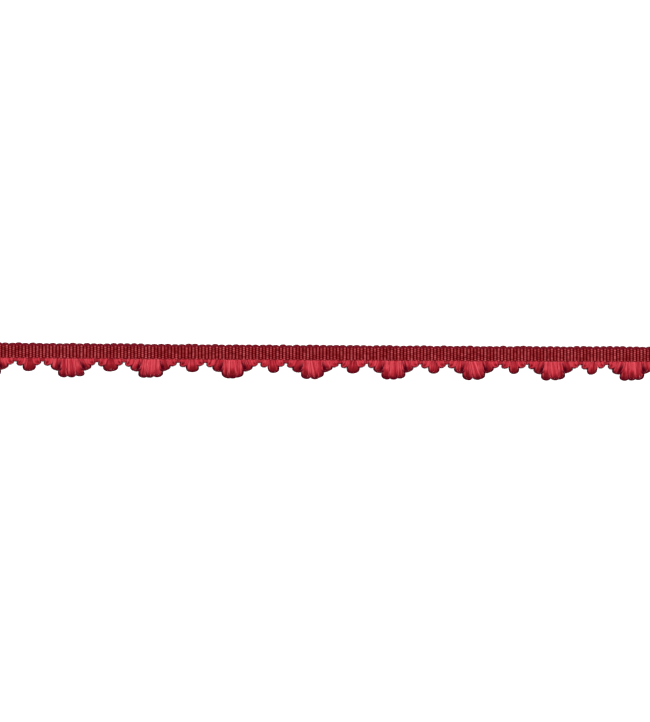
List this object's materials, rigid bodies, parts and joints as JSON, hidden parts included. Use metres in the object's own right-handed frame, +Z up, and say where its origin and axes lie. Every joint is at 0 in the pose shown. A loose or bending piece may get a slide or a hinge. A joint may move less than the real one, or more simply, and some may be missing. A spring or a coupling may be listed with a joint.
{
  "type": "fan edge trim",
  "caption": "Narrow ribbed woven heading with a row of small weft turns along one edge and a scalloped fringe of floss loops along the other, big fans and small fans in turn.",
  "frame": {"origin": "middle of the trim's outline, on the surface it lies on", "axes": "+X along the trim, to the right as it is seen face on; +Y across it, from the loops to the row of weft turns; +Z up off the surface, out of the ribbed face"},
  "size_m": [0.2666, 0.013, 0.0016],
  "materials": {
    "crimson_warp": "dyed spun warp over ribs, soft sheen on the crests",
    "red_floss": "glossy dyed floss"
  },
  "bodies": {
    "root": {"heading": "crimson_warp", "fan_fringe": "red_floss"}
  },
  "joints": []
}
